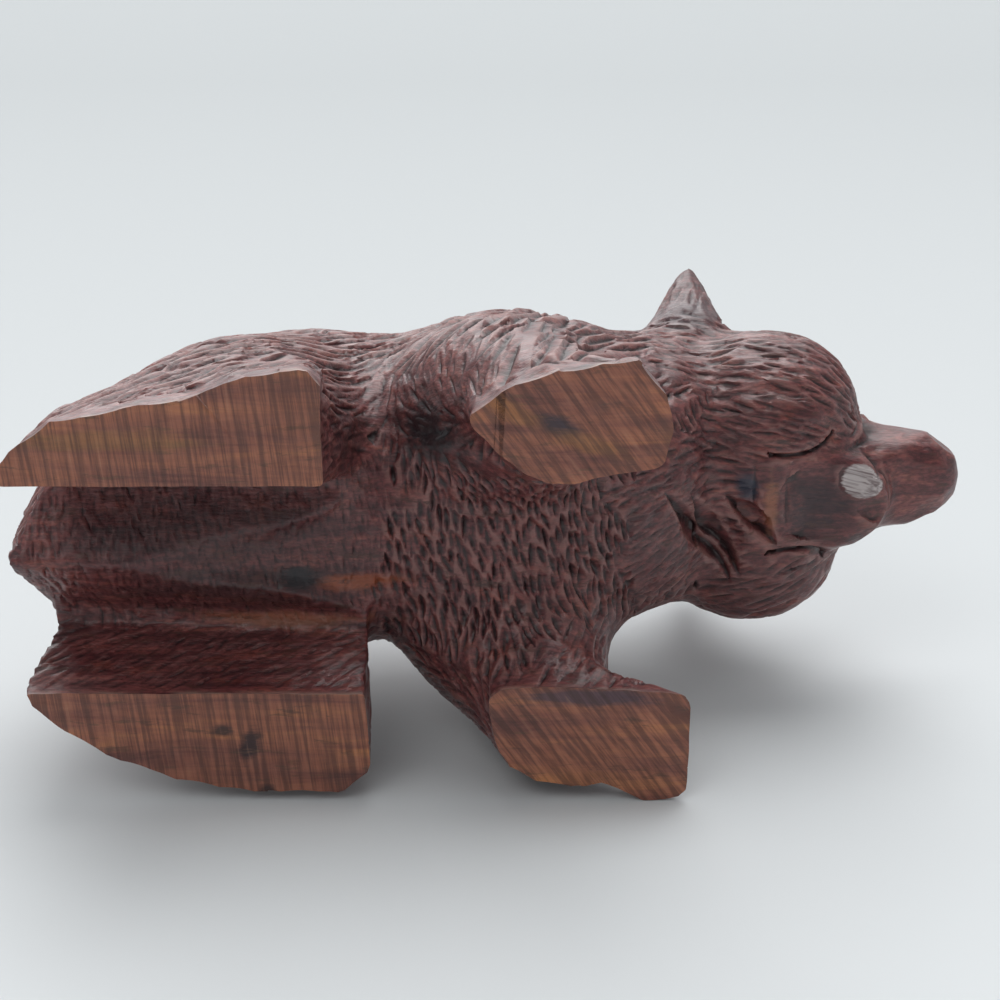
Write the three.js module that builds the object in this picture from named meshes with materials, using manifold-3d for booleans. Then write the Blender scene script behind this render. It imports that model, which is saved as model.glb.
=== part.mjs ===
// A small bear carved from one block of dark hardwood. It walks on four short legs, its head low and
// turned a little to its right. The soles are sawn flat, the wood between the hind legs is left as a
// low keel, and the coat is cut in with a V-gouge. Millimetres, +X towards the nose, +Y the bear's
// left, +Z up, with the origin at the middle of the bounding box, level with the soles.
import * as THREE from 'three';
import { mergeVertices } from 'three/addons/utils/BufferGeometryUtils.js';
import Module from 'manifold-3d';

const wasm = await Module();
wasm.setup();

// Driving dimensions. The form is laid out about the middle of the trunk, and centred at the end.

// The trunk's lines from tail to throat: place along X, half width, belly height, back height.
const TRUNK_LINES = [
  [-74, 7, 13, 30],
  [-68, 13.5, 12, 45],
  [-58, 18.3, 12, 53.5],
  [-46, 22.8, 12.5, 60.5],
  [-32, 26.3, 13, 64.5],
  [-14, 24.8, 14, 65.5],
  [-2, 26, 14, 68],
  [8, 27, 14.5, 70.5],
  [18, 25, 17, 70],
  [27, 23.5, 21, 68],
  [40, 21, 30, 66],
];
const TRUNK_FRONT = 38;
const TRUNK_BACK = -72;
const TRUNK_ROUNDNESS = 2.2;

const KEEL_PLAN = [[-30, -14], [-69, -9], [-76.5, 0.5], [-70, 9], [-69, 15], [-30, 15]];
const KEEL_BOTTOM = 8;
const KEEL_TOP = 32;
const KEEL_LEVEL_TO = -64;
const KEEL_RISE = 0.25;

// The space sawn out between the hind legs, seen from behind: the legs' inner faces, a narrow floor
// beside each, and the two faces of the keel, with its ridge between them. It gets lower forwards.
const HIND_GAP = [[-18, -1], [18.6, -1], [14, 18.4], [11, 18.4], [0.5, 10.4], [-11, 18.4], [-13.4, 18.4]];
const HIND_GAP_BACK = -90;
const HIND_GAP_FRONT = -15;
const HIND_GAP_FADE = 0.72;

// Sole outlines, seen from above, with Y measured outwards from the bear's middle.
const SOLES = {
  hindRight: [
    [-75, 14], [-75, 20], [-74, 22.5], [-66, 29], [-53, 31.5], [-44, 33], [-37, 36.5], [-27, 38], [-24, 36],
    [-24, 14],
  ],
  hindLeft: [
    [-71.5, 14], [-72.8, 20], [-67.5, 25], [-60.4, 30], [-50, 34.5], [-38, 37], [-22, 37.2], [-17.5, 33],
    [-18.5, 14],
  ],
  foreRight: [
    [-2, 28.5], [-1.6, 30.5], [4, 34], [11, 37], [24, 39.5], [28.6, 33.5], [30, 28], [28.5, 21], [12, 19],
    [3, 24],
  ],
  foreLeft: [
    [1, 17.6], [2, 25], [4.5, 31], [12.8, 34], [21, 36], [26, 38.5], [33.8, 38], [34, 18.2],
  ],
};
const SAWN_OFF = 8;
const LEG_LEAN = 0.28;
const HEEL_BACK = -75;
const HEEL_LEAN = 0.42;

const SKULL_CENTRE = [46.5, 2, 49];
const SKULL_SIZE = [37, 51, 38];
const HEAD_TURN = THREE.MathUtils.degToRad(-3);
const MUZZLE_PLAN = [
  [6, -10.5], [20, -9.3], [30, -8], [34, -5], [35, 0], [34, 4], [29, 7.5], [20, 9.3], [6, 10.5],
];
const JAW_PLAN = [[4.5, -9], [16, -8.5], [21, -5], [22.5, 0], [21, 5], [16, 8.5], [4.5, 9]];
const EYE_SPACING = 17.2;
const EYE_HEIGHT = 3.4;
const EYE_RADIUS = 2;

// Gouge cuts: width and depth of each kind, and the share of a row that the cuts themselves take up.
const FLANK_CUT = [3, 1.2];
const BACK_CUT = [2.8, 1];
const CHEEK_CUT = [2.6, 1];
const THROAT_CUT = [3, 1.8];
const MOUTH_CUT = [1.4, 0.9];
const STROKE_SHARE = 0.86;

// Spacing of the net that the skin is drawn with, and the shortest edge kept in it.
const TRUNK_STEP = 4.8;
const HEAD_STEP = 3.2;
const SMALLEST_EDGE = 0.25;

// Distance fields: negative in the wood, positive outside it.

const smoothUnion = (a, b, blend) => {
  const overlap = Math.max(blend - Math.abs(a - b), 0) / blend;
  return Math.min(a, b) - (overlap * overlap * blend) / 4;
};
const smoothCommon = (a, b, blend) => -smoothUnion(-a, -b, blend);
const smoothCut = (a, b, blend) => smoothCommon(a, -b, blend);

function ellipsoid([x, y, z], [cx, cy, cz], [rx, ry, rz]) {
  const [dx, dy, dz] = [x - cx, y - cy, z - cz];
  const near = Math.hypot(dx / rx, dy / ry, dz / rz);
  const steep = Math.hypot(dx / rx ** 2, dy / ry ** 2, dz / rz ** 2);
  return steep < 1e-9 ? -Math.min(rx, ry, rz) : (near * (near - 1)) / steep;
}

function taperedLimb(p, from, to, fromRadius, toRadius) {
  const [point, start, end] = [p, from, to].map((v) => new THREE.Vector3(...v));
  const line = new THREE.Line3(start, end);
  const t = line.closestPointToPointParameter(point, true);
  const radius = THREE.MathUtils.lerp(fromRadius, toRadius, t);
  return line.at(t, new THREE.Vector3()).distanceTo(point) - radius;
}

function outline([x, y], corners) {
  let nearest = Infinity;
  let inside = false;
  corners.forEach(([bx, by], i) => {
    const [ax, ay] = corners.at(i - 1);
    const [ex, ey] = [bx - ax, by - ay];
    const t = THREE.MathUtils.clamp(((x - ax) * ex + (y - ay) * ey) / (ex * ex + ey * ey), 0, 1);
    nearest = Math.min(nearest, Math.hypot(x - ax - t * ex, y - ay - t * ey));
    if (ay > y !== by > y && x < ax + (ex * (y - ay)) / ey) inside = !inside;
  });
  return inside ? -nearest : nearest;
}

// Trunk

// A smooth value between the stations of a table of lines.
function lineAt(lines, x, column) {
  const last = lines.length - 1;
  const beyond = lines.findIndex(([station]) => station > x);
  const near = beyond < 0 ? last - 1 : Math.max(beyond - 1, 0);
  const [before, a, b, after] = [-1, 0, 1, 2].map((k) => lines[THREE.MathUtils.clamp(near + k, 0, last)]);
  const span = b[0] - a[0];
  const t = THREE.MathUtils.clamp((x - a[0]) / span, 0, 1);
  const rise = b[column] - a[column];
  const leave = ((b[column] - before[column]) / (b[0] - before[0])) * span;
  const arrive = ((after[column] - a[column]) / (after[0] - a[0])) * span;
  const [bend, twist] = [3 * rise - 2 * leave - arrive, leave + arrive - 2 * rise];
  return a[column] + t * leave + t ** 2 * bend + t ** 3 * twist;
}

function trunk([x, y, z]) {
  const [half, low, high] = [1, 2, 3].map((column) => lineAt(TRUNK_LINES, x, column));
  const tall = (high - low) / 2;
  const [across, up] = [Math.abs(y / half), Math.abs((z - low - tall) / tall)];
  const near = (across ** TRUNK_ROUNDNESS + up ** TRUNK_ROUNDNESS) ** (1 / TRUNK_ROUNDNESS);
  return smoothCommon((near - 1) * Math.min(half, tall), Math.max(TRUNK_BACK - x, x - TRUNK_FRONT), 6);
}

// The keel between the hind legs: pointed behind like a boat's stern, and lost in the belly in front.
function keel([x, y, z]) {
  const bottom = KEEL_BOTTOM + KEEL_RISE * Math.max(x - KEEL_LEVEL_TO, 0);
  return smoothCommon(smoothCommon(outline([x, y], KEEL_PLAN), bottom - z, 1), z - KEEL_TOP, 6);
}

// Legs

// The lower leg stands on its sole and leans inwards as it rises.
function foot([x, y, z], side, sole, height) {
  const leaning = outline([x, y * side + LEG_LEAN * Math.max(z, 0)], sole);
  return smoothCommon(smoothCommon(leaning, z - height, 4), -z - SAWN_OFF, 1);
}

function hindLeg(p, side, sole) {
  const haunch = ellipsoid(p, [-38, side * 17.5, 23], [19, 14, 23]);
  const heel = ellipsoid(p, [-48, side * 20, 12], [18.5, 9, 16]);
  const leg = smoothUnion(smoothUnion(haunch, heel, 8), foot(p, side, sole, 14), 6);
  return smoothCommon(leg, (HEEL_BACK + HEEL_LEAN * p[2] - p[0]) / Math.hypot(1, HEEL_LEAN), 1.5);
}

function foreLeg(p, side, sole) {
  const shoulder = ellipsoid(p, [4, side * 17, 36], [20, 12.5, 24]);
  const forearm = taperedLimb(p, [4, side * 20, 25], [12, side * 27, 7], 15.5, 10.5);
  const toward = THREE.MathUtils.clamp((p[0] - 16) / 16, 0, 1);
  const toes = foot(p, side, sole, THREE.MathUtils.lerp(9, 2.5, toward));
  return smoothUnion(smoothUnion(shoulder, forearm, 8), toes, 4);
}

// Head, laid out about the middle of the skull and turned there.

const headPlace = (q) =>
  new THREE.Vector3(...q)
    .applyAxisAngle(new THREE.Vector3(0, 0, 1), HEAD_TURN)
    .add(new THREE.Vector3(...SKULL_CENTRE))
    .toArray();

function inHead([x, y, z]) {
  const [dx, dy] = [x - SKULL_CENTRE[0], y - SKULL_CENTRE[1]];
  const [c, s] = [Math.cos(HEAD_TURN), Math.sin(HEAD_TURN)];
  return [dx * c + dy * s, -dx * s + dy * c, z - SKULL_CENTRE[2]];
}

function muzzle([x, y, z]) {
  const top = z - THREE.MathUtils.mapLinear(x, 12, 32, 4, -1);
  const bottom = THREE.MathUtils.mapLinear(x, 12, 32, -11.5, -9) - z;
  return smoothCommon(smoothCommon(outline([x, y], MUZZLE_PLAN), top, 5), bottom, 4);
}

const jaw = ([x, y, z]) => smoothCommon(outline([x, y], JAW_PLAN), Math.abs(z + 10) - 5.5, 3);

function ear(q) {
  const leaf = taperedLimb(q, [-10, 17.5, 11], [-9, 28, 27], 9.5, 1.2);
  const hollow = ellipsoid(q, [0.5, 22, 19.5], [6, 3.8, 8]);
  return smoothCut(leaf, hollow, 1.5);
}

function head(p) {
  const q = inHead(p);
  const mirrored = [q[0], Math.abs(q[1]), q[2]];
  const [long, wide, high] = SKULL_SIZE.map((v) => v / 2);
  const cheekPlace = q[1] < 0 ? 3 : -1;
  let all = ellipsoid(q, [-2, 0, 1], [long - 1, wide - 3, high]);
  all = smoothUnion(all, ellipsoid(mirrored, [cheekPlace, 13, -2], [15, 12.5, 14.5]), 6);
  all = smoothUnion(all, ellipsoid(q, [6, 0, 7], [12.5, 13, 10.5]), 6);
  all = smoothUnion(all, ellipsoid(mirrored, [11.5, 7.5, 6.5], [6, 6, 4]), 3);
  all = smoothUnion(all, muzzle(q), 4);
  all = smoothUnion(all, jaw(q), 2.5);
  all = smoothUnion(all, ellipsoid(q, [31.5, 0, -2.6], [3.2, 4.2, 2.6]), 1.5);
  return smoothUnion(all, ear(mirrored), 2);
}

function bear(p) {
  let all = smoothUnion(trunk(p), keel(p), 5);
  all = smoothUnion(all, head(p), 4);
  all = smoothUnion(all, hindLeg(p, -1, SOLES.hindRight), 4);
  all = smoothUnion(all, hindLeg(p, 1, SOLES.hindLeft), 4);
  all = smoothUnion(all, foreLeg(p, -1, SOLES.foreRight), 5);
  return smoothUnion(all, foreLeg(p, 1, SOLES.foreLeft), 5);
}

// Skin: a net of triangles drawn onto the surface where the field is zero.

function slope(p) {
  const reach = 0.05;
  const along = (axis, way) => bear(p.map((v, i) => (i === axis ? v + way * reach : v)));
  return new THREE.Vector3(...[0, 1, 2].map((axis) => (along(axis, 1) - along(axis, -1)) / (2 * reach)));
}

function ontoSurface(p) {
  const at = new THREE.Vector3(...p);
  const furthest = new THREE.Vector3().setScalar(HEAD_STEP / 2);
  for (let i = 0; i < 4; i += 1) {
    const way = slope(at.toArray());
    const pull = way.clone().multiplyScalar(bear(at.toArray()) / Math.max(way.lengthSq(), 0.05));
    at.sub(pull.clamp(furthest.clone().negate(), furthest));
  }
  return at;
}

function ticks(from, to, step) {
  return Array.from({ length: Math.ceil((to - from) / step) }, (_, i) => from + i * step);
}

// The twelve edges of a grid cell, four along each axis, and the four that bound each of its faces.
const CELL_EDGES = [0, 1, 2].flatMap((axis) =>
  [[0, 0], [0, 1], [1, 0], [1, 1]].map(([a, b]) => {
    const from = [0, 0, 0];
    from[(axis + 1) % 3] = a;
    from[(axis + 2) % 3] = b;
    const to = [...from];
    to[axis] = 1;
    return [from, to];
  }),
);
const CELL_FACES = [0, 1, 2].flatMap((axis) =>
  [0, 1].map((side) => {
    const onFace = (edge) => edge.every((corner) => corner[axis] === side);
    return [...CELL_EDGES.keys()].filter((e) => onFace(CELL_EDGES[e]));
  }),
);

// Gathers a cell's crossed edges into the sheets of surface that pass through the cell.
function sheetsOf(inside) {
  const sheet = [...CELL_EDGES.keys()];
  const crossed = CELL_EDGES.map(([from, to]) => inside(from) !== inside(to));
  const innerCorner = (e) => CELL_EDGES[e].find(inside).join();
  for (const face of CELL_FACES) {
    const hits = face.filter((e) => crossed[e]);
    for (const a of hits)
      for (const b of hits) {
        if (a >= b || (hits.length === 4 && innerCorner(a) !== innerCorner(b))) continue;
        const [from, to] = [sheet[a], sheet[b]];
        sheet.forEach((s, e) => (sheet[e] = s === from ? to : s));
      }
  }
  return sheet.map((s, e) => (crossed[e] ? s : null));
}

function skin([xs, ys, zs]) {
  const count = [xs.length, ys.length, zs.length];
  const at = (i, j, k) => (i * count[1] + j) * count[2] + k;
  const values = new Float64Array(count[0] * count[1] * count[2]);
  xs.forEach((x, i) => ys.forEach((y, j) => zs.forEach((z, k) => (values[at(i, j, k)] = bear([x, y, z])))));

  const corners = [];
  const cornerOf = new Map();
  for (let i = 0; i < count[0] - 1; i += 1)
    for (let j = 0; j < count[1] - 1; j += 1)
      for (let k = 0; k < count[2] - 1; k += 1) {
        const value = ([a, b, c]) => values[at(i + a, j + b, k + c)];
        const place = ([a, b, c]) => new THREE.Vector3(xs[i + a], ys[j + b], zs[k + c]);
        const sheet = sheetsOf((corner) => value(corner) < 0);
        for (const one of new Set(sheet.filter((s) => s !== null))) {
          const edges = [...CELL_EDGES.keys()].filter((e) => sheet[e] === one);
          const middle = new THREE.Vector3();
          for (const e of edges) {
            const [from, to] = CELL_EDGES[e];
            middle.add(place(from).lerp(place(to), value(from) / (value(from) - value(to))));
            cornerOf.set(at(i, j, k) * CELL_EDGES.length + e, corners.length);
          }
          corners.push(ontoSurface(middle.divideScalar(edges.length).toArray()));
        }
      }

  const faces = [];
  for (let i = 1; i < count[0] - 1; i += 1)
    for (let j = 1; j < count[1] - 1; j += 1)
      for (let k = 1; k < count[2] - 1; k += 1)
        for (const axis of [0, 1, 2]) {
          const next = [i, j, k].map((v, n) => (n === axis ? v + 1 : v));
          const within = values[at(i, j, k)] < 0;
          if (within === values[at(...next)] < 0) continue;
          const ring = [[0, 0], [1, 0], [1, 1], [0, 1]].map(([u, v]) => {
            const cell = [i, j, k];
            cell[(axis + 1) % 3] -= u;
            cell[(axis + 2) % 3] -= v;
            return cornerOf.get(at(...cell) * CELL_EDGES.length + axis * 4 + u * 2 + v);
          });
          faces.push(...splitQuad(corners, within ? ring : ring.reverse()));
        }
  return { corners, faces };
}

function splitQuad(corners, [a, b, c, d]) {
  const shortWay = corners[a].distanceTo(corners[c]) < corners[b].distanceTo(corners[d]);
  return shortWay ? [[a, b, c], [a, c, d]] : [[b, c, d], [b, d, a]];
}

// Splits each edge that cuts across the form by more than the tolerance.
function refine({ corners, faces }, tolerance) {
  const middles = new Map();
  const middleOf = (a, b) => {
    const key = Math.min(a, b) * faces.length + Math.max(a, b);
    if (!middles.has(key)) {
      const flat = corners[a].clone().lerp(corners[b], 0.5);
      const raised = ontoSurface(flat.toArray());
      middles.set(key, flat.distanceTo(raised) > tolerance ? corners.push(raised) - 1 : null);
    }
    return middles.get(key);
  };
  const finer = faces.flatMap((face) => {
    const mids = face.map((a, i) => middleOf(a, face[(i + 1) % 3]));
    const split = mids.filter((m) => m !== null).length;
    if (split === 0) return [face];
    if (split === 3) return [mids, ...face.map((a, i) => [a, mids[i], mids[(i + 2) % 3]])];
    const first = split === 1 ? mids.findIndex((m) => m !== null) : (mids.indexOf(null) + 1) % 3;
    const [a, b, c] = [0, 1, 2].map((i) => face[(i + first) % 3]);
    const [m, n] = [mids[first], mids[(first + 1) % 3]];
    return split === 1 ? [[a, m, c], [m, b, c]] : [[m, b, n], [a, m, n], [a, n, c]];
  });
  return { corners, faces: finer };
}

// Solids

const solidOf = ({ corners, faces }) =>
  new wasm.Manifold(
    new wasm.Mesh({
      numProp: 3,
      vertProperties: new Float32Array(corners.flatMap((v) => v.toArray())),
      triVerts: new Uint32Array(faces.flat()),
    }),
  );

function formOf(geometry) {
  const at = geometry.getAttribute('position');
  const index = Array.from(geometry.index.array);
  const corners = ticks(0, at.count, 1).map((i) => new THREE.Vector3().fromBufferAttribute(at, i));
  const faces = ticks(0, index.length, 3).map((i) => index.slice(i, i + 3));
  return { corners, faces };
}

function solidFrom(shape) {
  for (const name of ['normal', 'uv']) shape.deleteAttribute(name);
  return solidOf(formOf(mergeVertices(shape)));
}

function geometryOf(solid) {
  const { vertProperties, triVerts } = solid.getMesh();
  return new THREE.BufferGeometry()
    .setAttribute('position', new THREE.BufferAttribute(vertProperties, 3))
    .setIndex(new THREE.BufferAttribute(triVerts, 1));
}

// Closes up the shortest edges, so that no sliver is left beside a cut. A sole's corners stay flat.
function withoutSlivers({ corners, faces }) {
  const around = corners.map(() => new Set());
  faces.forEach((face, i) => face.forEach((c) => around[c].add(i)));
  const beside = (c) => new Set([...around[c]].flatMap((i) => faces[i]).filter((n) => n !== c));
  const onSole = (c) => corners[c].z < 1e-4;
  const shorten = (i) => {
    for (const e of [0, 1, 2]) {
      let [keep, drop] = [faces[i][e], faces[i][(e + 1) % 3]];
      if (corners[keep].distanceTo(corners[drop]) >= SMALLEST_EDGE) continue;
      if (onSole(drop) && !onSole(keep)) [keep, drop] = [drop, keep];
      const besideDrop = beside(drop);
      if ([...beside(keep)].filter((n) => besideDrop.has(n)).length !== 2) continue;
      for (const j of [...around[drop]]) {
        const gone = faces[j].includes(keep);
        faces[j].forEach((c) => around[c].delete(j));
        faces[j] = gone ? null : faces[j].map((c) => (c === drop ? keep : c));
        faces[j]?.forEach((c) => around[c].add(j));
      }
      return true;
    }
    return false;
  };
  let again = true;
  while (again) {
    again = false;
    for (let i = 0; i < faces.length; i += 1) if (faces[i] && shorten(i)) again = true;
  }
  return { corners, faces: faces.filter(Boolean) };
}

// Gouge cuts

// The point of the surface where a ray from outside first meets it.
function meet(from, target) {
  const at = new THREE.Vector3(...from);
  const way = new THREE.Vector3(...target).sub(at).normalize();
  for (let i = 0; i < 200; i += 1) {
    const gap = bear(at.toArray());
    if (gap < 0.01) break;
    at.addScaledVector(way, Math.min(gap * 0.6, 4));
  }
  return at;
}

const onCoat = (x, degrees) => {
  const turn = THREE.MathUtils.degToRad(degrees);
  const axis = [x, 0, 36];
  return meet([x, 60 * Math.sin(turn), 36 + 60 * Math.cos(turn)], axis);
};
const onThroat = ([x, y]) => meet([x, y, -4], [x, y, 40]);
const onHead = (from, target) => meet(headPlace(from), headPlace(target));

// A V-shaped cut, pointed at both ends and deepest in the middle.
function gouge(from, to, [width, depth]) {
  const clear = 0.5;
  const surface = ontoSurface(from.clone().lerp(to, 0.5).toArray());
  const out = slope(surface.toArray()).normalize();
  const across = to.clone().sub(from).cross(out).setLength((width / 2) * (1 + clear / depth));
  const rim = surface.clone().addScaledVector(out, clear);
  const corners = [
    from.clone().addScaledVector(out, clear * 0.4),
    rim.clone().add(across),
    to.clone().addScaledVector(out, clear * 0.4),
    rim.clone().sub(across),
    surface.clone().addScaledVector(out, -depth),
    surface.clone().addScaledVector(out, depth + clear),
  ];
  const faces = [0, 1, 2, 3].flatMap((i) => [[i, (i + 1) % 4, 5], [(i + 1) % 4, i, 4]]);
  return solidOf({ corners, faces });
}

// Strokes laid end to end along a row of places on the coat, every other row half a stroke further on.
function strokeRow(row, places, count, size) {
  const curve = new THREE.CatmullRomCurve3(places.map(([x, degrees]) => onCoat(x, degrees)));
  return Array.from({ length: count }, (_, i) => {
    const start = (i + (row % 2) / 2) / (count + 0.5);
    const end = start + STROKE_SHARE / (count + 0.5);
    const [from, to] = [start, end].map((t) => ontoSurface(curve.getPoint(t).toArray()));
    return gouge(from, to, size);
  });
}

function coatStrokes(side) {
  const haunch = [0, 1, 2, 3, 4].flatMap((row) => {
    const lean = side * (48 + 16 * row);
    const places = [[-15 - 2 * row, lean], [-40, lean + side * 9], [-66 + row, lean + side * 12]];
    return strokeRow(row, places, 3, FLANK_CUT);
  });
  const shoulder = [0, 1, 2, 3, 4].flatMap((row) => {
    const lean = side * (36 + 15 * row);
    const places = [[23 - row, lean], [6, lean + side * 8], [-12 + row, lean + side * 18]];
    return strokeRow(row, places, 2, FLANK_CUT);
  });
  const back = [0, 1].flatMap((row) => {
    const lean = side * (9 + 18 * row);
    return strokeRow(row, [[28, lean], [-16, lean], [-64, lean]], 6, BACK_CUT);
  });
  return [...haunch, ...shoulder, ...back];
}

// The three deep slashes across the throat.
function throatStrokes() {
  const slashes = [[[31.5, -1.5], [42.5, 11]], [[36, -1.5], [45.5, 9.5]], [[41.5, -1.5], [49, 5]]];
  return slashes.map(([from, to]) => gouge(onThroat(from), onThroat(to), THROAT_CUT));
}

function faceStrokes(side) {
  const cheek = [0, 1, 2, 3, 4].map((row) => {
    const height = -12 + 6 * row;
    const front = onHead([34, side * 50, height], [8 - row, side * 12, height]);
    const back = onHead([-8, side * 60, height + 1], [-5 - row, side * 15, height + 1]);
    return gouge(front, back, CHEEK_CUT);
  });
  const [front, corner] = [[29, 3], [17, 4.5]].map(([x, y]) =>
    onHead([x, side * 40, -7], [x, side * y, -7]),
  );
  return [...cheek, gouge(front, corner, MOUTH_CUT)];
}

const eyePlaces = [-1, 1].map((side) => {
  const half = (side * EYE_SPACING) / 2;
  return onHead([45, half * 1.45, EYE_HEIGHT], [8, half, EYE_HEIGHT]);
});

function eyeSocket(at) {
  const [inner, outer] = [-1, 1].map((way) => ontoSurface([at.x, at.y + way * 2.7, at.z + way * 0.8]));
  return gouge(inner, outer, [3 * EYE_RADIUS, 0.8 * EYE_RADIUS]);
}

function eyeBall(at) {
  const sunk = at.clone().addScaledVector(slope(at.toArray()).normalize(), -0.6 * EYE_RADIUS);
  return solidFrom(new THREE.IcosahedronGeometry(EYE_RADIUS, 1).translate(...sunk.toArray()));
}

// The space between the hind legs, lowered towards the front until it leaves the belly.
function hindGap() {
  const profile = new THREE.Shape(HIND_GAP.map((corner) => new THREE.Vector2(...corner)));
  const length = HIND_GAP_FRONT - HIND_GAP_BACK;
  const gap = new THREE.ExtrudeGeometry(profile, { depth: length, bevelEnabled: false });
  const [x, y, z] = [0, 1, 2].map((axis) => new THREE.Vector3().setComponent(axis, 1));
  gap.applyMatrix4(new THREE.Matrix4().makeBasis(y, z, x).setPosition(HIND_GAP_BACK, 0, 0));
  const at = gap.getAttribute('position');
  for (let i = 0; i < at.count; i += 1)
    if (at.getX(i) > HIND_GAP_FRONT - 1) at.setZ(i, at.getZ(i) * HIND_GAP_FADE);
  return solidFrom(gap);
}

// The figure

const net = skin([
  [...ticks(-88, 24, TRUNK_STEP), ...ticks(24, 90, HEAD_STEP)],
  ticks(-46.2, 47, 4.2),
  [...ticks(-16.5, 28, 4.2), ...ticks(28, 84, 3.8)],
]);
let solid = solidOf(refine(net, 0.3));
for (const at of eyePlaces) solid = solid.subtract(eyeSocket(at)).add(eyeBall(at));
solid = solid.subtract(hindGap());
solid = solid.subtract(solidFrom(new THREE.BoxGeometry(200, 120, 30).translate(0, 0, -15)));
const strokes = [-1, 1].flatMap((side) => [...coatStrokes(side), ...faceStrokes(side)]);
for (const stroke of [...throatStrokes(), ...strokes]) solid = solid.subtract(stroke);

const shape = geometryOf(solidOf(withoutSlivers(formOf(geometryOf(solid)))));
shape.computeBoundingBox();
const middle = shape.boundingBox.getCenter(new THREE.Vector3());
shape.translate(-middle.x, -middle.y, 0);

const wood = new THREE.MeshStandardMaterial({ color: 0x4a2a22, roughness: 0.5, metalness: 0 });
const figure = new THREE.Mesh(shape, wood);
figure.name = 'bear';

const group = new THREE.Group();
group.add(figure);
export default group;
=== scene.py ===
import math
import random

import bpy
import numpy as np
from mathutils import Matrix, Vector, noise
from mathutils.bvhtree import BVHTree
from mathutils.kdtree import KDTree


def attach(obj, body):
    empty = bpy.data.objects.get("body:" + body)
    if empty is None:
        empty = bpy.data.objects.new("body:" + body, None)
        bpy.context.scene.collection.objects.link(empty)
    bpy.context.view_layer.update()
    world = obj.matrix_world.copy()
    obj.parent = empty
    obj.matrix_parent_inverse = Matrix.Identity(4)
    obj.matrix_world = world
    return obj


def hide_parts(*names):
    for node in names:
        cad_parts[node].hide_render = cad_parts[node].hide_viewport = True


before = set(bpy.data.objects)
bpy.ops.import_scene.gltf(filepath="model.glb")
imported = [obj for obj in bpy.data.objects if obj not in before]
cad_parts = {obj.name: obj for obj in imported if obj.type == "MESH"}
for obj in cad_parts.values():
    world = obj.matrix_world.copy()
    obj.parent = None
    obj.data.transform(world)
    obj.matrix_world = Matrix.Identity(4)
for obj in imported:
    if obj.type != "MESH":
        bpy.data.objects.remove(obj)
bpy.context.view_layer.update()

mm = 0.001

# The blank: the figure roughed out of one block of dark hardwood with saw and knife. It starts as a
# copy of the solid, each leg left a little long, and is evened out until no facet of it is left.
LEG_SPARE = 3 * mm
BLANK_GRID = 0.6 * mm
WAVE_LENGTH = 8 * mm
WAVE_HEIGHT = 0.3 * mm

bpy.ops.object.select_all(action="DESELECT")
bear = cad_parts["bear"].copy()
bear.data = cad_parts["bear"].data.copy()
bear.name = "carved_bear"
bpy.context.scene.collection.objects.link(bear)
bear.select_set(True)
bpy.context.view_layer.objects.active = bear
bpy.ops.object.mode_set(mode="EDIT")
bpy.ops.mesh.select_all(action="SELECT")
bpy.ops.mesh.remove_doubles(threshold=0.001 * mm)
bpy.ops.mesh.select_all(action="DESELECT")
bpy.ops.mesh.select_mode(type="FACE")
bpy.ops.object.mode_set(mode="OBJECT")
under_foot = [face.center.z < 0.02 * mm and face.normal.z < -0.9 for face in bear.data.polygons]
bear.data.polygons.foreach_set("select", under_foot)
bpy.ops.object.mode_set(mode="EDIT")
bpy.ops.mesh.extrude_region_move(TRANSFORM_OT_translate={"value": (0, 0, -LEG_SPARE)})
bpy.ops.object.mode_set(mode="OBJECT")


def finish_with(piece, kind, **settings):
    """Adds one modifier to a piece and applies it."""
    modifier = piece.modifiers.new(kind.lower(), kind)
    for name, value in settings.items():
        setattr(modifier, name, value)
    bpy.ops.object.select_all(action="DESELECT")
    piece.select_set(True)
    bpy.context.view_layer.objects.active = piece
    bpy.ops.object.modifier_apply(modifier=modifier.name)


finish_with(bear, "REMESH", mode="VOXEL", voxel_size=BLANK_GRID)
finish_with(bear, "SMOOTH", factor=0.5, iterations=5)
smooth_skin = [(vertex.co.copy(), vertex.normal.copy()) for vertex in bear.data.vertices]
for vertex, (place, normal) in zip(bear.data.vertices, smooth_skin):
    wave = noise.noise(place / WAVE_LENGTH) + 0.5 * noise.noise(place / (0.4 * WAVE_LENGTH))
    vertex.co = place - normal * WAVE_HEIGHT * (0.5 + 0.5 * wave)
skin = BVHTree.FromPolygons([v.co for v in bear.data.vertices], [f.vertices for f in bear.data.polygons])
corners = np.array([[bear.data.vertices[v].co for v in face.vertices[:3]] for face in bear.data.polygons])
finish_with(bear, "SUBSURF", levels=1)

# The tools: knife and gouge take the wood away a little at a time. The wood is a dense skin of points,
# each of which is sunk below its place on the blank as deep as the deepest cut that reaches it.
chance = random.Random(11)
places = np.empty(len(bear.data.vertices) * 3)
bear.data.vertices.foreach_get("co", places)
places = places.reshape(-1, 3)
normals = np.empty(places.size)
bear.data.vertices.foreach_get("normal", normals)
normals = normals.reshape(-1, 3)
sunk = np.zeros(len(places))
points = KDTree(len(places))
for number, place in enumerate(places):
    points.insert(place, number)
points.balance()


def reached(place, reach):
    return np.fromiter((found[1] for found in points.find_range(place, reach)), int)


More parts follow.
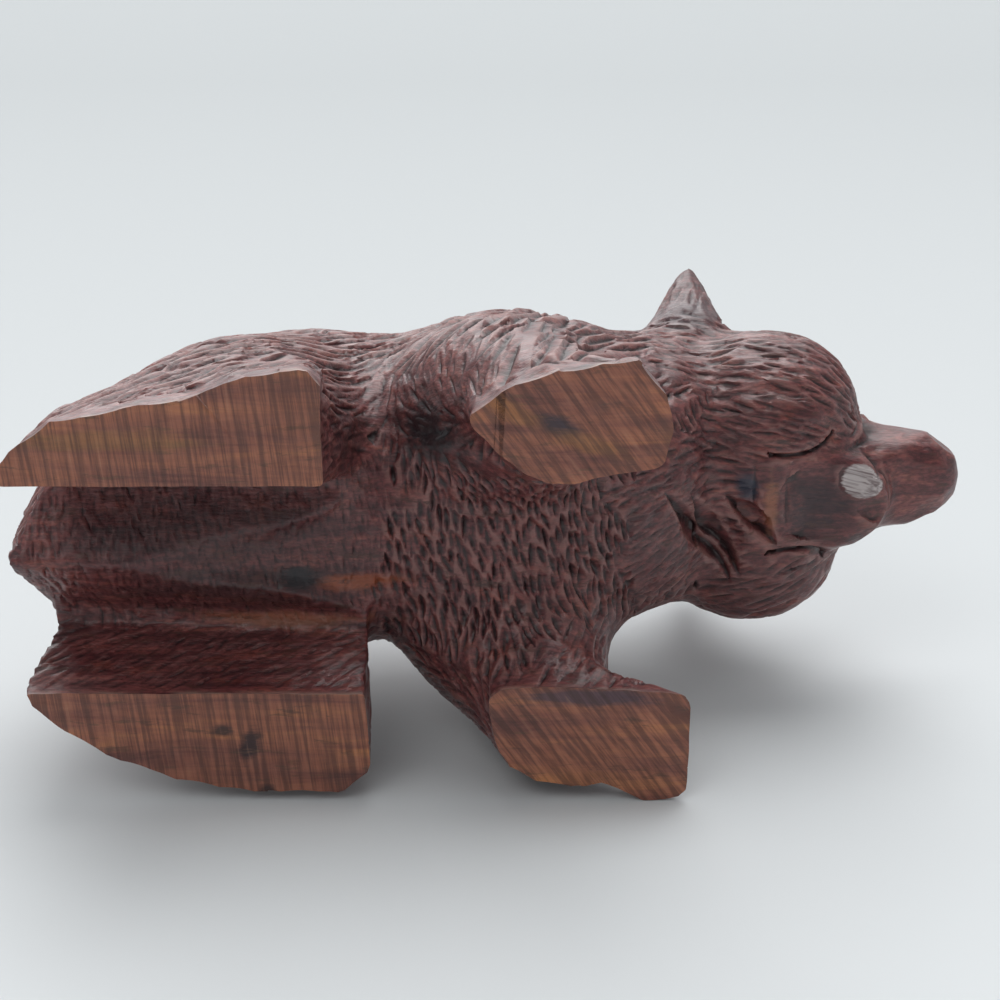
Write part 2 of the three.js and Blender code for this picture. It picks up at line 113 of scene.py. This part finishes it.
def scoop(place, way, length, width, depth, facing=None, share=None):
    """A shallow hollow, as a knife or a wide gouge leaves it: nearly a flat where the wood was round.
    It faces as the skin does, or as it is told, and share says how much of it each point takes."""
    place, normal, _, _ = skin.find_nearest(place)
    facing = facing.normalized() if facing else normal
    way = (way - facing * way.dot(facing)).normalized()
    near = reached(place, 0.5 * max(length, width))
    if not len(near):
        return
    offset = places[near] - np.array(place)
    along, across = offset @ np.array(way) / (length / 2), offset @ np.array(way.cross(facing)) / (width / 2)
    leaning = normals[near] @ np.array(facing)
    level = offset @ np.array(facing) + depth * (1 - along ** 2 - across ** 2)
    level = np.where((along ** 2 + across ** 2 < 1) & (leaning > 0.3), level / np.maximum(leaning, 0.5), 0)
    level = np.where(level > 1.4 * depth, 2.8 * depth - level, level)
    if share is not None:
        level *= share[near]
    sunk[near] = np.maximum(sunk[near], level)


def gouge(start, heading, length, width, depth, entry=0.4, lean=0.0):
    """One V-shaped stroke along the skin; heading gives its way at each place that it reaches, and
    lean makes one of its walls steeper than the other."""
    place, normal, _, _ = skin.find_nearest(start)
    steps = max(2, round(length / (2 * mm)))
    stride = length / steps
    for step in range(steps):
        way = heading(place)
        way = (way - normal * way.dot(normal)).normalized()
        beside = way.cross(normal)
        near = reached(place + way * stride / 2, 0.5 * math.hypot(stride, width) + 0.1 * mm)
        if len(near):
            offset = places[near] - np.array(place)
            along, across = offset @ np.array(way) / stride, offset @ np.array(beside)
            share = np.clip((step + along) / steps, 0, 1)
            sink = np.sin(np.pi * share ** (math.log(0.5) / math.log(entry)))
            wall = np.abs(across) * np.where(across > 0, 1 + lean, 1 / (1 + lean))
            level = depth * (sink - wall / (width / 2))
            level = np.where((along > -0.15) & (along < 1.15), level, 0)
            sunk[near] = np.maximum(sunk[near], level)
        place, normal, _, _ = skin.find_nearest(place + way * stride)


# The coat and the rest of the body. The locks hang down the shoulders and sweep back over the
# haunches. Under the belly the gouge went across the body, and left rows of short chatter marks.
HEAD_MIDDLE = Vector((43.8, 2.4, 49)) * mm
HEAD_TURN = Matrix.Rotation(math.radians(-3), 3, "Z")
NOSE = HEAD_MIDDLE + HEAD_TURN @ Vector((34, 0, -4)) * mm


def on_head(ahead, beside, above):
    """The place that lies so many millimetres ahead, to the left and above the middle of the skull."""
    return HEAD_MIDDLE + HEAD_TURN @ Vector((ahead, beside, above)) * mm


def in_head(place):
    """A place's distances in millimetres from the middle of the skull: ahead, to the left and up."""
    return HEAD_TURN.inverted() @ (place - HEAD_MIDDLE) / mm


def stroke_at(place, normal):
    """The tool and its way at a place on the skin, with the stroke's length, spacing, width and depth
    in millimetres."""
    x, y, z = place / mm
    x += 7 * noise.noise(place / (5 * mm))
    ahead, beside, above = in_head(place)
    side = 1 if y > 0 else -1
    outward = normal.y * side
    if ahead > -16 and z > 31 and not (ahead < -9 and above < -10):
        if ahead > 14 and above < 2 and abs(beside) < 12 or above < -12 and abs(beside) < 10 and ahead > -2:
            return None
        if abs(beside) > 16 and above > 10 and ahead < 0:
            return gouge, Vector((0.2, 0.45 * side, 1)), 6, 1.3, 1.4, 0.3
        return gouge, place - NOSE, 6.5, 1.05, 1.5, 0.5
    if z < 2.5 and outward < 0.35:
        return None
    if z < 5 and outward > 0.35:
        return scoop, Vector((1, 0, -0.2)), 9, 2.4, 4.4, 0.4
    if x > 22 and z < 36 and abs(y) < 14 and normal.z < 0.3:
        return gouge, Vector((-1, 0.25, 0.1)), 5, 0.9, 1.2, 0.38
    if x < -14 and abs(y) < 20 and z < 22 and outward < -0.5:
        return gouge, Vector((-1, 0, -0.7)), 6, 1.0, 1.2, 0.3
    if x < -17 and abs(y) < 15 and z < 22 and normal.z < -0.2:
        return gouge, Vector((0.12, 1, 0)), 4.5, 0.8, 1.0, 0.3
    if normal.z < -0.5 and abs(y) < 18:
        return gouge, Vector((0.2, 1, 0)), 5, 1.15, 1.6, 0.75
    if normal.z < -0.1 or outward < 0 or (z < 12 and normal.x > 0.5):
        return gouge, Vector((-0.5, 0.3 * side, -1)), 6.5, 1.05, 1.4, 0.42
    flank = min(abs(y) / 22, 1)
    shoulder = max(0, 1 - abs(x - 8) / 22)
    way = Vector((-1 + 0.6 * shoulder, 0, -flank * (0.65 + 0.6 * shoulder)))
    return gouge, way, 11 + 9 * shoulder, 1.2 + 0.6 * shoulder, 1.8 + 1.3 * shoulder, 0.75 + 0.5 * shoulder


def lay_strokes(tries):
    """Lays strokes over the whole skin, so close that only a ridge of wood stands between them."""
    spans = np.cross(corners[:, 1] - corners[:, 0], corners[:, 2] - corners[:, 0])
    areas = np.linalg.norm(spans, axis=1)
    draw = np.random.default_rng(5)
    cell = 8 * mm
    laid = {}
    for face, (u, v) in zip(draw.choice(len(areas), tries, p=areas / areas.sum()), draw.random((tries, 2))):
        if u + v > 1:
            u, v = 1 - u, 1 - v
        a, b, c = corners[face]
        place = Vector(a + u * (b - a) + v * (c - a))
        normal = Vector(spans[face]).normalized()
        stroke = stroke_at(place, normal)
        if stroke is None:
            continue
        tool, way, length, spacing, width, depth = stroke
        way = (way - normal * way.dot(normal)).normalized()
        beside = way.cross(normal)
        i, j, k = (math.floor(v / cell) for v in place)
        near = [other for a in (i - 1, i, i + 1) for b in (j - 1, j, j + 1) for c in (k - 1, k, k + 1)
                for other in laid.get((a, b, c), ())]
        reach = 0.66 * length * mm
        gap = 0.76 * spacing * mm
        if any(((other - place).dot(way) / reach) ** 2 + ((other - place).dot(beside) / gap) ** 2 < 1
               and abs((other - place).dot(normal)) < 3 * mm for other in near):
            continue
        laid.setdefault((i, j, k), []).append(place)
        turn = Matrix.Rotation(chance.gauss(0, 0.12), 3, normal)
        length, width, depth = (v * chance.uniform(0.8, 1.25) * mm for v in (length, width, depth))
        if tool is scoop:
            scoop(place, turn @ way, length, width, depth)
            continue

        def heading(at, turn=turn, way=way, normal=normal):
            there = stroke_at(at, normal)
            return turn @ (there[1] if there else way)

        gouge(place - turn @ way * length / 2, heading, length, width, depth,
              chance.uniform(0.35, 0.6), chance.uniform(0, 0.9))


lay_strokes(90000)

# The eyes: each a small almond left standing between two curved cuts.
EYE_CORNERS = ((17, 5.6, 2.2), (14, 11.2, 4.4))
for side in (-1, 1):
    inner, outer = (skin.find_nearest(on_head(ahead, beside * side, above))[0]
                    for ahead, beside, above in EYE_CORNERS)
    for rise in (1.5, -1.5):

        def lid(place, inner=inner, across=outer - inner, rise=rise):
            """Leaves the eye's inner corner upwards or downwards, and comes back to its outer corner."""
            done = (place - inner).dot(across) / across.length_squared
            return across.normalized() + Vector((0, 0, rise * (1 - 2 * done)))

        gouge(inner, lid, 1.35 * (outer - inner).length, 1.3 * mm, 0.8 * mm, 0.5)

# The throat: three deep slashes, and the comb of short nicks behind the right cheek.
THROAT_SLASHES = [((27, -6.4, 23), (41, 16.5, 32.5)), ((31.5, -4, 27), (43.6, 14.2, 31.6)),
                  ((37.4, -1.6, 31.3), (47.2, 8.6, 31.8))]
for start, end in THROAT_SLASHES:
    start, end = Vector(start) * mm, Vector(end) * mm
    gouge(start, lambda place, way=end - start: way, (end - start).length, 4.4 * mm, 2.7 * mm, 0.5, 0.4)
for nick in range(7):
    start = Vector((30.8, -17.1, 32.6)).lerp(Vector((36.6, -19.1, 39.4)), nick / 6) * mm
    gouge(start, lambda place: Vector((0, 1, -0.3)), 4 * mm, 0.8 * mm, 0.4 * mm)


# The muzzle and the jaw are whittled to flats: two long ones along the sides of the snout, short ones
# round it and under the jaw, fine chatter there, and the flat chip under the jaw.
head_places = (places - np.array(HEAD_MIDDLE)) @ np.array(HEAD_TURN) / mm
on_muzzle = np.clip((head_places[:, 0] - 14) / 4, 0, 1) * np.clip((3 - head_places[:, 2]) / 3, 0, 1)
for side in (-1, 1):
    scoop(on_head(21, 11 * side, -7), Vector((1, 0, 0)), 30 * mm, 15 * mm, 0.8 * mm,
          HEAD_TURN @ Vector((0.1, 0.93 * side, -0.22)), on_muzzle)
for ahead, turns in ((17, 7), (22, 6), (28, 7), (33, 5)):
    for step in range(turns):
        angle = math.radians(360 * (step + chance.uniform(-0.2, 0.2)) / turns)
        out = Vector((0.1 + 0.02 * max(0, ahead - 24) ** 1.6, math.sin(angle), math.cos(angle)))
        scoop(on_head(ahead, 0, -7) + HEAD_TURN @ out * 12 * mm, Vector((1, 0.3, 0)),
              chance.uniform(8, 11) * mm, chance.uniform(5.5, 8) * mm, 0.5 * mm, HEAD_TURN @ out, on_muzzle)
under_jaw = np.clip((-4 - head_places[:, 2]) / 4, 0, 1)
JAW_FLATS = [
    ((52, -8.5, 33), (0, -0.9, -0.45), 15, 9, 0.9),
    ((52, 10, 33), (0, 0.9, -0.45), 15, 9, 0.9),
    ((54, 1, 32), (-0.03, 0.05, -1), 15, 14, 0.7),
    ((68, -1, 36), (0.12, -0.1, -1), 14, 9, 0.6),
    ((64, -6, 37), (0.1, -0.7, -0.7), 13, 7, 0.6),
]
for place, facing, length, width, depth in JAW_FLATS:
    scoop(Vector(place) * mm, Vector((1, 0, 0)), length * mm, width * mm, depth * mm, Vector(facing), under_jaw)
for x in (42.8, 48.2):
    gouge(Vector((x, -9, 33)) * mm, lambda place: Vector((0, 1, 0)), 18 * mm, 2.2 * mm, 0.8 * mm, 0.5)
for ahead in (0, 5, 10):
    for beside in (-7, -2, 3, 8):
        scoop(on_head(ahead, beside, -20), Vector((1, 0.6, 0)), chance.uniform(7, 9) * mm,
              chance.uniform(4, 6) * mm, 0.35 * mm, None, under_jaw)
for ahead in range(1, 15):
    gouge(on_head(ahead, chance.uniform(-7, 2), -20), lambda place: Vector((0.1, 1, 0)),
          chance.uniform(3, 6) * mm, 0.8 * mm, 0.28 * mm)
scoop(Vector((61, -3.1, 33.6)) * mm, Vector((1, 0, 0)), 8.5 * mm, 7.5 * mm, 0.7 * mm,
      Vector((-0.12, -0.12, -1)), under_jaw)

# The groove is where a point lies deeper than the wood about it, and the ridge where it lies higher.
GROOVE_BLUR = 14
ends = np.empty(2 * len(bear.data.edges), int)
bear.data.edges.foreach_get("vertices", ends)
ends = ends.reshape(-1, 2)
about = sunk.copy()
shared = np.bincount(ends.ravel(), minlength=len(sunk))
for _ in range(GROOVE_BLUR):
    gathered = np.bincount(ends[:, 0], about[ends[:, 1]], len(sunk))
    gathered += np.bincount(ends[:, 1], about[ends[:, 0]], len(sunk))
    about = 0.2 * about + 0.8 * gathered / shared
groove = np.clip(0.5 + (sunk - about) / (0.7 * mm), 0, 1)

places -= normals * sunk[:, None]
bear.data.vertices.foreach_set("co", places.ravel())
bear.data.update()
finish_with(bear, "DECIMATE", ratio=92000 / len(places))

# The soles, sawn off level.
bpy.ops.mesh.primitive_cube_add(size=0.3, location=(0, 0, -0.15))
saw = bpy.context.object
finish_with(bear, "BOOLEAN", object=saw, operation="DIFFERENCE", solver="MANIFOLD")
bpy.data.objects.remove(saw)
finish_with(bear, "TRIANGULATE", ngon_method="BEAUTY")

# Any pinched edge that the thinning of the mesh has left is opened and closed again.
bpy.ops.object.mode_set(mode="EDIT")
bpy.ops.mesh.select_mode(type="VERT")
bpy.ops.mesh.select_all(action="SELECT")
bpy.ops.mesh.dissolve_degenerate(threshold=0.002 * mm)
bpy.ops.mesh.select_all(action="DESELECT")
bpy.ops.mesh.select_non_manifold()
bpy.ops.mesh.delete(type="VERT")
bpy.ops.mesh.select_non_manifold()
bpy.ops.mesh.fill_holes(sides=0)
bpy.ops.mesh.select_all(action="SELECT")
bpy.ops.mesh.quads_convert_to_tris(ngon_method="BEAUTY")
bpy.ops.mesh.normals_make_consistent(inside=False)
bpy.ops.object.mode_set(mode="OBJECT")
bear.data.materials.clear()

grooves = [groove[points.find(vertex.co)[1]] for vertex in bear.data.vertices]
bear.data.attributes.new("groove", "FLOAT", "POINT").data.foreach_set("value", grooves)

# The finish: the coat is stained a dark red-brown and waxed, and worn back to paler wood on the ridges.
# The soles are raw from the saw, with the grain running along the figure and the saw's lines across.
wood = bpy.data.materials.new("waxed_hardwood")
wood.use_nodes = True
nodes, links = wood.node_tree.nodes, wood.node_tree.links
shader = nodes["Principled BSDF"]
shader.inputs["Specular IOR Level"].default_value = 0.4
shader.inputs["Coat Weight"].default_value = 0.4
shader.inputs["Coat Roughness"].default_value = 0.3
object_place = nodes.new("ShaderNodeTexCoord").outputs["Object"]
geometry = nodes.new("ShaderNodeNewGeometry")


def put(socket, value):
    """Gives a socket a link, a colour or a number."""
    if hasattr(value, "is_output"):
        links.new(value, socket)
    elif isinstance(value, tuple) and len(value) == 3 and socket.type == "RGBA":
        socket.default_value = (*value, 1)
    else:
        socket.default_value = value


def sum_of(operation, *values):
    node = nodes.new("ShaderNodeMath")
    node.operation = operation
    for socket, value in zip(node.inputs, values):
        put(socket, value)
    return node.outputs[0]


def grain(stretch, turn=0, detail=4, roughness=0.55, distortion=0.0):
    """Noise with so many features to the metre along each axis, turned about the upright."""
    mapping = nodes.new("ShaderNodeMapping")
    mapping.vector_type = "TEXTURE"
    mapping.inputs["Rotation"].default_value = (0, 0, math.radians(turn))
    mapping.inputs["Scale"].default_value = [1 / many for many in stretch]
    links.new(object_place, mapping.inputs["Vector"])
    texture = nodes.new("ShaderNodeTexNoise")
    for name, value in (("Scale", 1), ("Detail", detail), ("Roughness", roughness), ("Distortion", distortion)):
        texture.inputs[name].default_value = value
    links.new(mapping.outputs[0], texture.inputs["Vector"])
    return texture.outputs["Fac"]


def shades(value, *stops):
    node = nodes.new("ShaderNodeValToRGB")
    links.new(value, node.inputs[0])
    elements = node.color_ramp.elements
    while len(elements) < len(stops):
        elements.new(0.5)
    for element, (position, color) in zip(elements, stops):
        element.position = position
        element.color = (*color, 1)
    return node.outputs[0]


def between(value, low, high, to_low=0.0, to_high=1.0):
    node = nodes.new("ShaderNodeMapRange")
    for name, number in (("Value", value), ("From Min", low), ("From Max", high),
                         ("To Min", to_low), ("To Max", to_high)):
        put(node.inputs[name], number)
    return node.outputs[0]


def blend(amount, under, over, how="MIX"):
    node = nodes.new("ShaderNodeMix")
    node.data_type = "RGBA"
    node.blend_type = how
    for socket, value in ((node.inputs[0], amount), (node.inputs[6], under), (node.inputs[7], over)):
        put(socket, value)
    return node.outputs[2]


ragged = grain((110, 600, 600), detail=6, roughness=0.7)


def patch(middle, reach, turn=0, edge=1.5, fade=0.5):
    """A ragged patch at a place, in millimetres, that fades out over a share of its reach."""
    mapping = nodes.new("ShaderNodeMapping")
    mapping.vector_type = "TEXTURE"
    mapping.inputs["Location"].default_value = [v * mm for v in middle]
    mapping.inputs["Rotation"].default_value = (0, 0, math.radians(turn))
    mapping.inputs["Scale"].default_value = [v * mm for v in reach]
    links.new(object_place, mapping.inputs["Vector"])
    ball = nodes.new("ShaderNodeTexGradient")
    ball.gradient_type = "SPHERICAL"
    links.new(mapping.outputs[0], ball.inputs[0])
    return between(sum_of("MULTIPLY_ADD", sum_of("SUBTRACT", ragged, 0.5), edge, ball.outputs["Fac"]), 0.12, 0.12 + fade)


streaks = grain((50, 680, 680), detail=6, roughness=0.65)
coat_color = shades(streaks, (0.30, (0.060, 0.016, 0.018)), (0.45, (0.140, 0.040, 0.040)),
                    (0.58, (0.215, 0.060, 0.056)), (0.74, (0.33, 0.112, 0.078)))
coat_color = blend(between(grain((95, 130, 130)), 0.42, 0.62), coat_color, (0.70, 0.56, 0.62), "MULTIPLY")
coat_color = blend(between(grain((120, 210, 210), roughness=0.65), 0.56, 0.72, 0, 0.6), coat_color,
                   (0.25, 0.058, 0.034))
flecks = grain((800, 1800, 1800), detail=2, roughness=0.6)
coat_color = blend(between(flecks, 0.38, 0.62, 0.5, -0.1), coat_color, (0.020, 0.006, 0.008))

groove_depth = nodes.new("ShaderNodeAttribute")
groove_depth.attribute_name = "groove"
coat_color = blend(between(groove_depth.outputs["Fac"], 0.52, 0.80, 0, 0.88), coat_color, (0.012, 0.004, 0.005))
coat_color = blend(between(groove_depth.outputs["Fac"], 0.44, 0.20, 0, 0.5), coat_color, (0.33, 0.160, 0.138))

# The stains and the bare streaks of orange heartwood each have their own place, and so has the silvery chip,
# where a splinter came off after the waxing. Some dark patches in the list are painted shade, not stains: along
# the underside behind the belly, in the hollow between the right legs and under the right forefoot. One more only
# darkens the jaw's underside.
STAINS_AND_PAINTED_SHADE = [
    # painted shade along the underside behind the belly and on the low left face of the keel
    ((-45, -3, 12), (32, 12, 7), 0, (0.020, 0.008, 0.010), 0.5),
    ((-40, 6, 13), (30, 6, 5), 0, (0.015, 0.006, 0.008), 0.55),
    # this one darkens the underside of the jaw
    ((54, 2, 33), (9, 8, 5), 0, (0.018, 0.010, 0.016), 0.8),
    ((33, -23, 60), (9, 7, 9), 0, (0.030, 0.018, 0.026), 0.6),
    ((-22, 6, 14), (10, 2.2, 4), 0, (0.36, 0.090, 0.032), 0.65),
    ((-34, 13.2, 15), (20, 2.4, 3.5), 0, (0.30, 0.100, 0.040), 0.55),
    ((45.5, 1, 31.5), (1.8, 8, 4), 0, (0.33, 0.125, 0.055), 0.55),
    ((-31.7, 4.7, 12.8), (5, 3.2, 3), 0, (0.006, 0.006, 0.010), 0.9),
    ((41.4, -2.9, 31.4), (2.8, 4, 4), -20, (0.012, 0.018, 0.040), 0.9),
    # painted shade in the hollow between the right legs and on the belly under the right forefoot
    ((-15, -21, 13), (17, 9, 12), 0, (0.008, 0.006, 0.009), 0.85),
    ((4, -18, 13), (26, 5, 8), 0, (0.010, 0.006, 0.008), 0.65),
]
for middle, reach, turn, stain_or_painted_shade, strength in STAINS_AND_PAINTED_SHADE:
    coat_color = blend(sum_of("MULTIPLY", patch(middle, reach, turn), strength), coat_color, stain_or_painted_shade)

split_grain = shades(grain((60, 2600, 2600), 15, detail=2), (0.35, (0.20, 0.15, 0.15)), (0.6, (0.52, 0.46, 0.45)))
coat_color = blend(patch((61, -3.1, 33.6), (4.6, 4.2, 2.5), 15, 0.5, 0.08), coat_color, split_grain)

raw_color = shades(grain((26, 230, 230), detail=6, roughness=0.6, distortion=0.5),
                   (0.28, (0.100, 0.032, 0.030)), (0.41, (0.250, 0.088, 0.060)),
                   (0.56, (0.380, 0.138, 0.078)), (0.72, (0.56, 0.225, 0.086)))
SOLE_STAINS = [
    ((-39.6, 28.2, 0), (2.4, 4.6, 2), 18, (0.012, 0.010, 0.018), 0.9),
    ((-44, 25.5, 0), (2.2, 1.6, 2), 0, (0.015, 0.012, 0.016), 0.85),
    ((-37, 36.6, 0), (2.2, 1.8, 2), 0, (0.015, 0.012, 0.016), 0.85),
    ((9.6, -27.2, 0), (6, 2.6, 2), 25, (0.022, 0.022, 0.040), 0.9),
    ((2, -30, 0), (8, 2.4, 2), 30, (0.36, 0.150, 0.050), 0.7),
    ((14, -24.5, 0), (9, 2.2, 2), 15, (0.38, 0.160, 0.055), 0.7),
    ((14, 19.6, 0), (16, 2.4, 2), 0, (0.060, 0.045, 0.070), 0.8),
    ((-60, -25, 0), (22, 2.6, 2), 0, (0.35, 0.160, 0.060), 0.6),
]
for middle, reach, turn, stain_or_painted_shade, strength in SOLE_STAINS:
    raw_color = blend(sum_of("MULTIPLY", patch(middle, reach, turn), strength), raw_color, stain_or_painted_shade)

height = nodes.new("ShaderNodeSeparateXYZ")
links.new(object_place, height.inputs[0])
facing = nodes.new("ShaderNodeSeparateXYZ")
links.new(geometry.outputs["Normal"], facing.inputs[0])
on_sole = sum_of("MULTIPLY", sum_of("LESS_THAN", height.outputs["Z"], 0.03 * mm),
                 sum_of("LESS_THAN", facing.outputs["Z"], -0.9))
on_fore = sum_of("GREATER_THAN", height.outputs["X"], -10 * mm)
saw_lines = blend(on_fore, grain((1300, 45, 45), -6, detail=3, roughness=0.7),
                  grain((1000, 70, 70), -35, detail=3, roughness=0.7))
raw_color = blend(between(saw_lines, 0.42, 0.58, 0.6, 0.0), raw_color, (0.045, 0.020, 0.018))
raw_color = blend(between(saw_lines, 0.60, 0.75, 0.0, 0.35), raw_color, (0.46, 0.25, 0.15))
rim = sum_of("MULTIPLY", between(height.outputs["Z"], 0.05 * mm, 0.9 * mm, 0.6, 0), between(ragged, 0.4, 0.6))
coat_color = blend(rim, coat_color, (0.45, 0.30, 0.24))
put(shader.inputs["Base Color"], blend(on_sole, coat_color, raw_color))

gloss = between(grain((300, 500, 500)), 0.3, 0.7, 0.34, 0.56)
put(shader.inputs["Roughness"], sum_of("ADD", gloss, sum_of("MULTIPLY", on_sole, 0.25)))
bump = nodes.new("ShaderNodeBump")
bump.inputs["Distance"].default_value = 0.15 * mm
bump.inputs["Strength"].default_value = 0.8
relief = sum_of("ADD", sum_of("ADD", grain((350, 2600, 2600), detail=3), flecks),
                sum_of("MULTIPLY", on_sole, saw_lines))
put(bump.inputs["Height"], relief)
put(shader.inputs["Normal"], bump.outputs[0])

bear.data.materials.append(wood)
bpy.ops.object.select_all(action="DESELECT")
bear.select_set(True)
bpy.context.view_layer.objects.active = bear
bpy.ops.object.shade_smooth_by_angle(angle=math.radians(50))
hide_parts("bear")
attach(bear, "root")

# The table and the studio: pale all round, with soft light from above and behind.
TABLE_SIDE = 38.6 * mm


def one_sided(name, color, far_painted_shade):
    """A plain floor that shows only from the side the figure is on. Painted shade darkens it upwards, so that it
    pales towards the figure.
    """
    material = bpy.data.materials.new(name)
    material.use_nodes = True
    nodes, links = material.node_tree.nodes, material.node_tree.links
    plain = nodes["Principled BSDF"]
    plain.inputs["Roughness"].default_value = 0.9
    plain.inputs["Specular IOR Level"].default_value = 0.1
    place = nodes.new("ShaderNodeNewGeometry")
    split = nodes.new("ShaderNodeSeparateXYZ")
    links.new(place.outputs["Position"], split.inputs[0])
    span = nodes.new("ShaderNodeMapRange")
    span.inputs["From Min"].default_value = -0.05
    span.inputs["From Max"].default_value = 0.4
    links.new(split.outputs["Z"], span.inputs["Value"])
    shade = nodes.new("ShaderNodeMix")
    shade.data_type = "RGBA"
    shade.inputs[6].default_value = color
    shade.inputs[7].default_value = far_painted_shade
    links.new(span.outputs[0], shade.inputs[0])
    links.new(shade.outputs[2], plain.inputs["Base Color"])
    clear = nodes.new("ShaderNodeBsdfTransparent")
    mix = nodes.new("ShaderNodeMixShader")
    links.new(place.outputs["Backfacing"], mix.inputs[0])
    links.new(plain.outputs[0], mix.inputs[1])
    links.new(clear.outputs[0], mix.inputs[2])
    links.new(mix.outputs[0], nodes["Material Output"].inputs["Surface"])
    return material


# The far colour is painted shade: the floor and the table darken towards it the higher they stand.
NEAR_PALE = (0.69, 0.715, 0.725, 1)
FAR_PAINTED_SHADE = (0.50, 0.523, 0.532, 1)
bpy.ops.mesh.primitive_plane_add(size=4)
floor = bpy.context.object
floor.name = "floor"
floor.data.materials.append(one_sided("pale_floor", NEAR_PALE, FAR_PAINTED_SHADE))
floor.visible_diffuse = floor.visible_glossy = floor.visible_shadow = floor.visible_transmission = False

bpy.ops.mesh.primitive_plane_add(size=6, rotation=(math.radians(90), 0, 0), location=(0, TABLE_SIDE, 0))
table = bpy.context.object
table.name = "table"
table.data.materials.append(one_sided("pale_table", NEAR_PALE, FAR_PAINTED_SHADE))


def softbox(name, place, size, power, color=(1, 1, 1)):
    lamp = bpy.data.lights.new(name, "AREA")
    lamp.shape = "SQUARE"
    lamp.size = size
    lamp.energy = power
    lamp.color = color
    lamp_object = bpy.data.objects.new(name, lamp)
    bpy.context.scene.collection.objects.link(lamp_object)
    lamp_object.location = place
    lamp_object.rotation_euler = (Vector((0, 0, 0.03)) - Vector(place)).to_track_quat("-Z", "Y").to_euler()


softbox("overhead", (0.3, -2.6, 1.1), 2.0, 50)
softbox("behind", (-0.5, -1.7, 2.9), 2.4, 48)
softbox("front", (-1.0, -2.6, -1.7), 1.6, 14)

# The room is brighter above the figure than beneath it.
world = bpy.data.worlds.new("studio")
world.use_nodes = True
nodes, links = world.node_tree.nodes, world.node_tree.links
split = nodes.new("ShaderNodeSeparateXYZ")
links.new(nodes.new("ShaderNodeTexCoord").outputs["Generated"], split.inputs[0])
span = nodes.new("ShaderNodeMapRange")
for name, value in (("From Min", -1), ("From Max", 0.6), ("To Min", 0.26), ("To Max", 0.72)):
    span.inputs[name].default_value = value
links.new(split.outputs["Z"], span.inputs["Value"])
nodes["Background"].inputs["Color"].default_value = (0.86, 0.88, 0.9, 1)
links.new(span.outputs[0], nodes["Background"].inputs["Strength"])
bpy.context.scene.world = world

# The camera stands where the photograph was taken from.
CAMERA_TIP = math.radians(25)
CAMERA_PLACE = Vector((0.450, -202.53, -401.90)) * mm
camera = bpy.data.cameras.new("camera")
camera.lens = 103.68
camera.sensor_width = 36
camera.clip_start = 0.01
camera_object = bpy.data.objects.new("camera", camera)
bpy.context.scene.collection.objects.link(camera_object)
right = Vector((1, 0, 0))
up = Vector((0, -math.cos(CAMERA_TIP), math.sin(CAMERA_TIP)))
back = right.cross(up)
camera_object.matrix_world = Matrix.Translation(CAMERA_PLACE) @ Matrix((right, up, back)).transposed().to_4x4()
bpy.context.scene.camera = camera_object
bpy.context.scene.view_settings.view_transform = "Standard"
